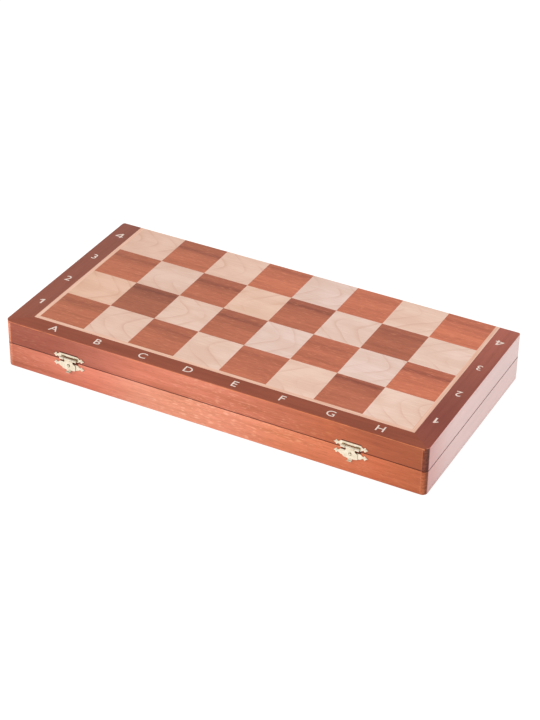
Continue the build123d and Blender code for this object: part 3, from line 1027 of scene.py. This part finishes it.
def round_nails(height):
    """The two round-headed nails of one plate."""
    shank = [(0.15, -6.5), (0.6, -5.4), (0.6, 0.02)]
    head = [(1.25, 0.02), (1.2, 0.2), (0.9, 0.38), (0.45, 0.49), (0.1, 0.5)]
    spots = [Matrix.Translation((x, height, plate_thickness)) for x in (-wing_widest, wing_widest)]
    return [(turned(shank + head), spot) for spot in spots]


def brass_piece(node, body, look, parts, place=still):
    """A brass piece of parts in their places."""
    piece(node, "brass", joined([(part, place @ spot) for part, spot in parts]), body, [look], 40)


for end in ends:
    place = latch_place(end)
    brass_piece(end + "_latch_top_plate", "upper_half", "latch", top_plate(), place)
    brass_piece(end + "_latch_pin", "upper_half", "latch", latch_pin(), place)
    brass_piece(end + "_latch_catch_plate", "lower_half", "latch", catch_plate(), place)
    brass_piece(end + "_latch_hasp", end + "_hasp", "latch", hasp(), place)

for name, body, height in (("top", "upper_half", band_middle), ("catch", "lower_half", catch_middle)):
    nails = [(nail, latch_place(end) @ spot) for end in ends for nail, spot in round_nails(height)]
    brass_piece(f"latch_{name}_nails", body, "latch", nails)


# Back hinges

hinge_ease = 0.12 * mm
hinge_from_middle = 150.0 * mm
hinge_nail_spacing = 24.0 * mm

for end in ends:
    for name, body in (("upper_leaf", "upper_half"), ("lower_leaf", "lower_half"), ("pin", "lower_half")):
        shape = cad_shape(f"{end}_hinge_{name}")
        soften(shape, hinge_ease, steps=2)
        brass_piece(f"{end}_hinge_{name}", body, "hinge", [(shape, still)])


def flush_nails(half, facing):
    """Countersunk nails that replace a group of faceted ones; facing is 1 where the heads look down."""
    node = f"hinge_{half}_nails"
    low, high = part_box(node)
    head_level = low.z if facing > 0 else high.z
    profile = [(1.0, 0.0), (1.5, 0.12), (0.6, 0.9), (0.6, 5.6), (0.15, 6.5)]
    turn = Matrix.Diagonal((1, 1, facing, 1)) @ Matrix.Scale(mm, 4)
    nails = []
    for hinge in (-hinge_from_middle, hinge_from_middle):
        for offset in (-hinge_nail_spacing / 2, hinge_nail_spacing / 2):
            spot = Matrix.Translation((hinge + offset, (low.y + high.y) / 2, head_level))
            nails.append((turned(profile), spot @ turn))
    brass_piece(node, half + "_half", "hinge", nails)


flush_nails("upper", 1)
flush_nails("lower", -1)


# Lining and dividers

felt_columns = 96
felt_rows = 48
felt_nap = 0.05 * mm
felt_edge_drop = 0.3 * mm

for node in ("long_divider", "cross_dividers"):
    shape = cad_shape(node)
    soften(shape, 0.3 * mm, steps=2)
    piece(node, "wood", shape, "lower_half", ["divider"])


def felt_layer(shape, low, high, level):
    """One face of the felt, its corners at the heights that a function gives; returns its rim in order."""
    grid = []
    for row in range(felt_rows + 1):
        y = low.y + (high.y - low.y) * row / felt_rows
        places = [low.x + (high.x - low.x) * column / felt_columns for column in range(felt_columns + 1)]
        grid.append([shape.verts.new((x, y, level(row, column))) for column, x in enumerate(places)])
    for near_row, far_row in zip(grid, grid[1:]):
        for column in range(felt_columns):
            shape.faces.new([near_row[column], near_row[column + 1], far_row[column + 1], far_row[column]])
    right_side = [row[-1] for row in grid[:-1]]
    left_side = [row[0] for row in grid[:0:-1]]
    return grid[0][:-1] + right_side + grid[-1][:0:-1] + left_side


def lining(half, inward):
    """Felt glued to the board core: a thin sheet with a soft, slightly uneven face. Inward is 1 or -1 in Z,
    from that face into the felt."""
    node = half + "_lining"
    low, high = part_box(node)
    face_level, back_level = (low.z, high.z) if inward > 0 else (high.z, low.z)

    def nap(row, column):
        if row in (0, felt_rows) or column in (0, felt_columns):
            return face_level + inward * felt_edge_drop
        unevenness = sin(column * 2.1 + row * 1.3) * sin(row * 2.7 - column * 0.9)
        return face_level + inward * felt_nap * (1 + unevenness)

    shape = bmesh.new()
    bridged(shape, [felt_layer(shape, low, high, level) for level in (nap, lambda row, column: back_level)])
    made = piece(node, "felt", shape, half + "_half", ["felt"], 60)
    high.x - low.x
    high.y - low.y


lining("lower", -1)
lining("upper", 1)


# Men, in millimetres, turned about Z

felt_top = 0.85
man_sides = 48
lock_count = 9
crown_bead_count = 9
crown_radius = 9.4
crown_height = 73.4
crown_bead_radius = 1.5
battlement_count = 6
battlement_gap = 2.6
battlement_inside = 7.6
battlement_outside = 11.5
battlement_floor = 48.0
battlement_top = 52.0
base_radius = {"pawn": 14.0, "rook": 15.5, "knight": 15.5, "bishop": 15.5, "queen": 17.0, "king": 18.0}


def foot(kind, band):
    """The profile of a man's foot: the felt disc, a step out and a rounded band."""
    radius = base_radius[kind]
    return [(radius - 0.8, 0.0), (radius - 0.8, 0.8), (radius, 1.0), (radius, band, 0.3)]


# Each stretch of a profile ends at a radius and height. Where a third number follows, the stretch bulges out
# (above 0) or in (below 0) by that share of its length.
broad_foot = [*foot("rook", 4.0), (13.6, 5.4), (13.0, 6.4, -0.3), (9.8, 10.4, 0.25)]
profiles = {
    "pawn": [
        *foot("pawn", 3.4), (12.2, 4.6), (11.6, 5.4, -0.3), (8.4, 8.8, 0.25), (8.0, 10.0),
        (4.4, 29.6, -0.14), (6.6, 30.6), (8.2, 31.8, 0.3), (6.6, 33.0, 0.3), (5.4, 33.6), (4.6, 34.8, -0.2),
        (7.0, 40.0, 0.30), (0.2, 47.0, 0.41),
    ],
    "rook": [
        *broad_foot, (9.2, 12.0), (7.4, 34.0, -0.1), (9.4, 35.2), (10.4, 36.4, 0.3), (9.0, 37.6, 0.3),
        (11.3, 41.5, -0.25), (11.5, 43.0), (battlement_outside, battlement_floor),
        (battlement_inside, battlement_floor), (7.4, 45.0),
    ],
    "bishop": [
        *foot("bishop", 4.0), (13.4, 5.4), (12.6, 6.4, -0.3), (8.8, 10.4, 0.25), (8.2, 12.0),
        (4.7, 40.6, -0.14), (7.2, 41.8), (9.0, 43.4, 0.3), (7.0, 44.8, 0.3), (6.2, 45.6), (7.0, 46.8, 0.3),
        (5.0, 48.2), (8.0, 55.0, 0.16), (5.0, 61.8, 0.14), (1.4, 64.6), (2.3, 66.4, 0.4), (0.2, 68.0, 0.4),
    ],
    "queen": [
        *foot("queen", 4.4), (14.8, 6.0), (14.0, 7.0, -0.3), (9.8, 11.4, 0.25), (9.2, 13.0),
        (5.3, 50.6, -0.12), (7.8, 52.0), (10.0, 53.6, 0.3), (7.8, 55.2, 0.3), (6.8, 56.2), (7.8, 57.4, 0.3),
        (5.6, 59.0), (10.4, 72.0, -0.14), (10.4, 73.2), (8.4, 73.6), (7.4, 75.0, 0.2), (2.0, 76.0, 0.1),
        (1.6, 76.6), (2.5, 78.2, 0.3), (0.2, 80.0, 0.4),
    ],
    "king": [
        *foot("king", 4.4), (15.6, 6.2), (14.8, 7.2, -0.3), (10.4, 12.0, 0.25), (9.8, 13.6),
        (5.7, 55.6, -0.12), (8.2, 57.0), (10.5, 58.8, 0.3), (8.2, 60.4, 0.3), (7.2, 61.4), (8.2, 62.6, 0.3),
        (6.0, 64.2), (11.0, 76.4, -0.12), (11.0, 77.6), (9.4, 78.2), (7.6, 80.0, 0.2), (2.2, 81.4, 0.1),
    ],
    "knight": [*broad_foot, (9.4, 12.0), (11.3, 14.0, 0.3), (10.4, 15.6, 0.3)],
}


def drawn(profile):
    """The points of a profile, its bulging stretches as curves."""
    points = [profile[0]]
    for radius, height, *bulge in profile[1:]:
        start = Vector(points[-1])
        end = Vector((radius, height))
        run = end - start
        if bulge:
            control = (start + end) / 2 + Vector((run.y, -run.x)) * bulge[0] * 2
            points += bent(start, control, end, 7)
        else:
            points.append((radius, height))
    return points


def horse_head():
    """The knight's head and neck: ovals along the neck's line, then ears, eyes and a cut mane."""
    # Each oval: its middle along X and Z, half its depth in the side view, half its thickness, its lean
    ovals = [
        (-0.3, 15.0, 9.4, 8.6, 0),
        (-1.2, 20.0, 9.2, 7.4, 4),
        (-2.4, 27.0, 8.6, 6.4, 8),
        (-2.8, 35.0, 8.0, 5.8, 2),
        (-1.6, 42.5, 8.0, 5.6, -16),
        (0.8, 48.0, 7.8, 5.4, -40),
        (4.0, 50.4, 7.0, 5.2, -68),
        (7.2, 49.0, 6.2, 4.8, -95),
        (9.6, 45.8, 5.2, 4.2, -118),
        (11.2, 42.4, 4.3, 3.7, -130),
        (12.5, 39.6, 3.8, 3.4, -135),
        (13.2, 38.0, 2.5, 2.3, -138),
    ]
    shape = bmesh.new()
    rings = []
    for x, z, depth, thickness, lean in ovals:
        tilted = Matrix.Rotation(radians(-lean), 4, "Y") @ Matrix.Diagonal((depth, thickness, 1, 1))
        rings.append([Matrix.Translation((x, 0, z)) @ tilted @ Vector(spot) for spot in circle(1, 0, 20)])
    skinned(shape, rings)
    parts = [(shape, still)]
    ear = [(2.3, 0), (2.0, 2.2), (1.2, 4.4), (0.3, 5.8)]
    eye = [(0.2, -1.1), (1.1, 0), (0.9, 0.5), (0.2, 0.8)]
    lock = [(2.6, 0), (2.4, 2.2), (1.5, 4.2), (0.4, 5.4)]
    for side in (-1, 1):
        lean_out = Matrix.Rotation(radians(-12 * side), 4, "X") @ Matrix.Rotation(radians(-8), 4, "Y")
        parts.append((turned(ear, 14), Matrix.Translation((-1.2, 2.4 * side, 53.6)) @ lean_out))
        look = Matrix.Rotation(radians(-90 * side), 4, "X")
        parts.append((turned(eye, 14), Matrix.Translation((5.0, 4.9 * side, 50.0)) @ look))
    for index in range(lock_count):
        share = index / (lock_count - 1)
        x = -9.8 + 3.0 * share ** 2 + 1.2 * sin(share * pi)
        lean_back = Matrix.Rotation(radians(-160 + 40 * share), 4, "Y")
        parts.append((turned(lock, 12), Matrix.Translation((x, 0, 24.2 + 29.0 * share)) @ lean_back))
    return parts


def battlements():
    """The cut ring on top of a rook: teeth round a hollow, parted by straight slots."""
    shape = bmesh.new()
    section = [
        (battlement_inside, battlement_floor),
        (battlement_outside, battlement_floor),
        (battlement_outside, battlement_top),
        (battlement_inside, battlement_top),
    ]
    pitch = 2 * pi / battlement_count
    steps = 6
    for tooth in range(battlement_count):
        rings = []
        for index in range(steps + 1):
            ring = []
            for radius, height in section:
                slot = asin(battlement_gap / 2 / radius)
                turn = pitch * tooth + slot + (pitch - 2 * slot) * index / steps
                ring.append((radius * cos(turn), radius * sin(turn), height))
            rings.append(ring)
        skinned(shape, rings)
    return [(shape, still)]


def crown_beads():
    """A ring of small beads on a queen's crown."""
    bead = [(crown_bead_radius * 0.6, -crown_bead_radius), *arc(0, 0, crown_bead_radius, -40, 85, 6)]
    spots = circle(crown_radius, crown_height, crown_bead_count)
    return [(turned(bead, 12), Matrix.Translation(spot)) for spot in spots]


def cross():
    """The king's cross, its arms flared."""
    right_side = [(1.9, 90.0), (1.4, 86.3), (4.1, 87.2), (4.1, 83.3), (1.4, 84.2), (0.9, 80.6)]
    plate = stamped(both_sides(right_side), (), 3.0, 0.3)
    return [(plate, Matrix.Rotation(pi / 2, 4, "X") @ Matrix.Translation((0, 0, -1.5)))]


added = {"knight": horse_head, "rook": battlements, "queen": crown_beads, "king": cross}


def man(kind):
    """The parts of one man, standing at the origin."""
    return [(turned(drawn(profiles[kind]), man_sides), still), *added.get(kind, list)()]


# What each kind rests on when it lies down: its base band's height, and its head's radius and height there
resting = {
    "king": (5, 11, 77),
    "queen": (5, 10.5, 73),
    "bishop": (4.5, 8, 55),
    "knight": (4.5, 6, 62),
    "rook": (4.5, 11.5, 52),
    "pawn": (3.6, 7.6, 40.4),
}
left_plan = ("pawn", "pawn", "bishop", "knight", "queen", "king")
row_plan = (*left_plan, "", "bishop", "knight", "rook", "pawn", "pawn")
paired = ("rook", "pawn")
wall_space = 4.0 * mm
divider_space = 2.5 * mm
floor_space = 0.05
floor_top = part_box("lower_lining")[1].z
inner_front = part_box("lower_front_wall")[1].y
inner_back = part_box("lower_back_wall")[0].y
inner_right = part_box("lower_right_wall")[0].x
divider_low, divider_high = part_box("long_divider")
slat = divider_high.y - divider_low.y
cell_pitch = (2 * inner_right + slat) / len(row_plan)


def lying(kind, x, base_y, heading):
    """The place of a man lying on the lining, its head towards heading, 1 or -1 in Y."""
    band, head_radius, head_height = resting[kind]
    tilt = atan((base_radius[kind] - head_radius) / (head_height - band))
    axis_height = floor_top + mm * (floor_space + band * sin(tilt) + base_radius[kind] * cos(tilt))
    turn = Matrix.Rotation(-heading * (pi / 2 + tilt), 4, "X")
    return Matrix.Translation((x, base_y, axis_height)) @ turn @ Matrix.Scale(mm, 4)


def laid_row(side, outer, middle, colour, wood):
    """One colour's men in their cells, between a wall's face at outer and the long divider's at middle. Side
    is -1 for the row at the latches and 1 for the row at the hinges."""
    spots_of = {}
    for column, kind in enumerate(row_plan):
        if not kind:
            continue
        x = (column - (len(row_plan) - 1) / 2) * cell_pitch
        spots = spots_of.setdefault(kind, [])
        spots.append(lying(kind, x, outer - side * wall_space, -side))
        if kind in paired:
            spots.append(lying(kind, x, middle + side * divider_space, side))
    for kind, spots in spots_of.items():
        node = colour + "_" + kind + ("s" if len(spots) > 1 else "")
        shape = joined([(part, spot @ place) for spot in spots for part, place in man(kind)])
        made = piece(node, "turned", shape, "lower_half", [wood, "felt"], 45)
        for polygon in made.data.polygons:
            for spot in spots:
                away = polygon.center - spot.translation
                if abs(away.y) < felt_top * mm and abs(away.x) < cell_pitch / 2:
                    polygon.material_index = 1


laid_row(-1, inner_front, divider_low.y, "light", "boxwood")
laid_row(1, inner_back, divider_high.y, "dark", "rosewood")


# Floor, light and camera


def stage_floor():
    """White table: it takes the case's shadow and is white to the camera and in the metal. It is clear from
    below and to what stands on it, so that the underside can be seen by daylight."""
    graph = Graph("table_white")
    grain = graph.noise(graph.at, (3, 3, 3), 1)
    plain = graph.value("BsdfDiffuse", {0: grain.tones((0.80, 0.80, 0.80), (0.84, 0.84, 0.84))})
    lit = graph.value("BsdfDiffuse", {0: (0.30, 0.30, 0.30)})
    glow = graph.value("Emission", {0: white, 1: 0.85})
    seen = graph.value("AddShader", {0: lit, 1: glow})
    table_top = graph.value("MixShader", {0: graph.shown(), 1: plain, 2: seen})
    touching = graph.value("LightPath", output="Ray Length").math("LESS_THAN", 1.0 * mm)
    unseen = graph.value("NewGeometry", output="Backfacing").math("MAXIMUM", touching)
    clear = graph.value("BsdfTransparent", {0: white})
    graph.node("OutputMaterial", {0: graph.value("MixShader", {0: unseen, 1: table_top, 2: clear})})
    reach = 12.0
    drop = -0.1 * mm
    mesh = bpy.data.meshes.new("table")
    corners = [(-reach, -reach, drop), (reach, -reach, drop), (reach, reach, drop), (-reach, reach, drop)]
    mesh.from_pydata(corners, [], [(0, 1, 2, 3)])
    mesh.materials.append(graph.owner)
    placed("table", mesh)


def world_light(strength):
    """Even white surroundings, fully white to the camera and in the metal."""
    graph = Graph("studio", bpy.data.worlds)
    bpy.context.scene.world = graph.owner
    level = graph.shown().linear(0.0, 1.0, strength, 1.0)
    graph.node("OutputWorld", {0: graph.value("Background", {"Strength": level})})


def lamp(name, place, size, power, target=(0, 0, 0)):
    """A soft rectangular lamp that looks at a point."""
    data = bpy.data.lights.new(name, "AREA")
    data.shape = "RECTANGLE"
    data.size, data.size_y = size
    data.energy = power
    made = placed(name, data)
    made.location = place
    made.rotation_euler = (Vector(target) - Vector(place)).to_track_quat("-Z", "Y").to_euler()
    made.visible_camera = False
    made.visible_glossy = False


stage_floor()
world_light(0.50)
lamp("key", (-1.1, -1.7, 1.5), (2.4, 2.4), 44)
lamp("top_fill", (0.7, 0.9, 2.1), (2.0, 2.0), 17)
# Light that comes up from the table in front of the case, more of it from the left
lamp("table_glow", (-0.35, -0.42, 0.004), (1.1, 0.5), 1.2, (-0.35, -0.42, 1.0))
lamp("side_glow", (0.95, 0.0, 0.16), (0.8, 0.3), 0.45, (right, 0.0, 0.03))

# The photograph's camera, found from the corners of the squares
camera_place = (0.8169, -1.5707, 1.1684)
camera_azimuth = radians(-27.20)
camera_down = radians(33.10)
camera_roll = radians(0.977)
camera_data = bpy.data.cameras.new("camera")
camera_data.sensor_width = 36.0
camera_data.lens = 99.18
camera = placed("camera", camera_data)
aim = Matrix.Rotation(-camera_azimuth, 4, "Z") @ Matrix.Rotation(pi / 2 - camera_down, 4, "X")
camera.matrix_world = Matrix.Translation(camera_place) @ aim @ Matrix.Rotation(camera_roll, 4, "Z")
bpy.context.scene.camera = camera
bpy.context.scene.view_settings.view_transform = "Standard"
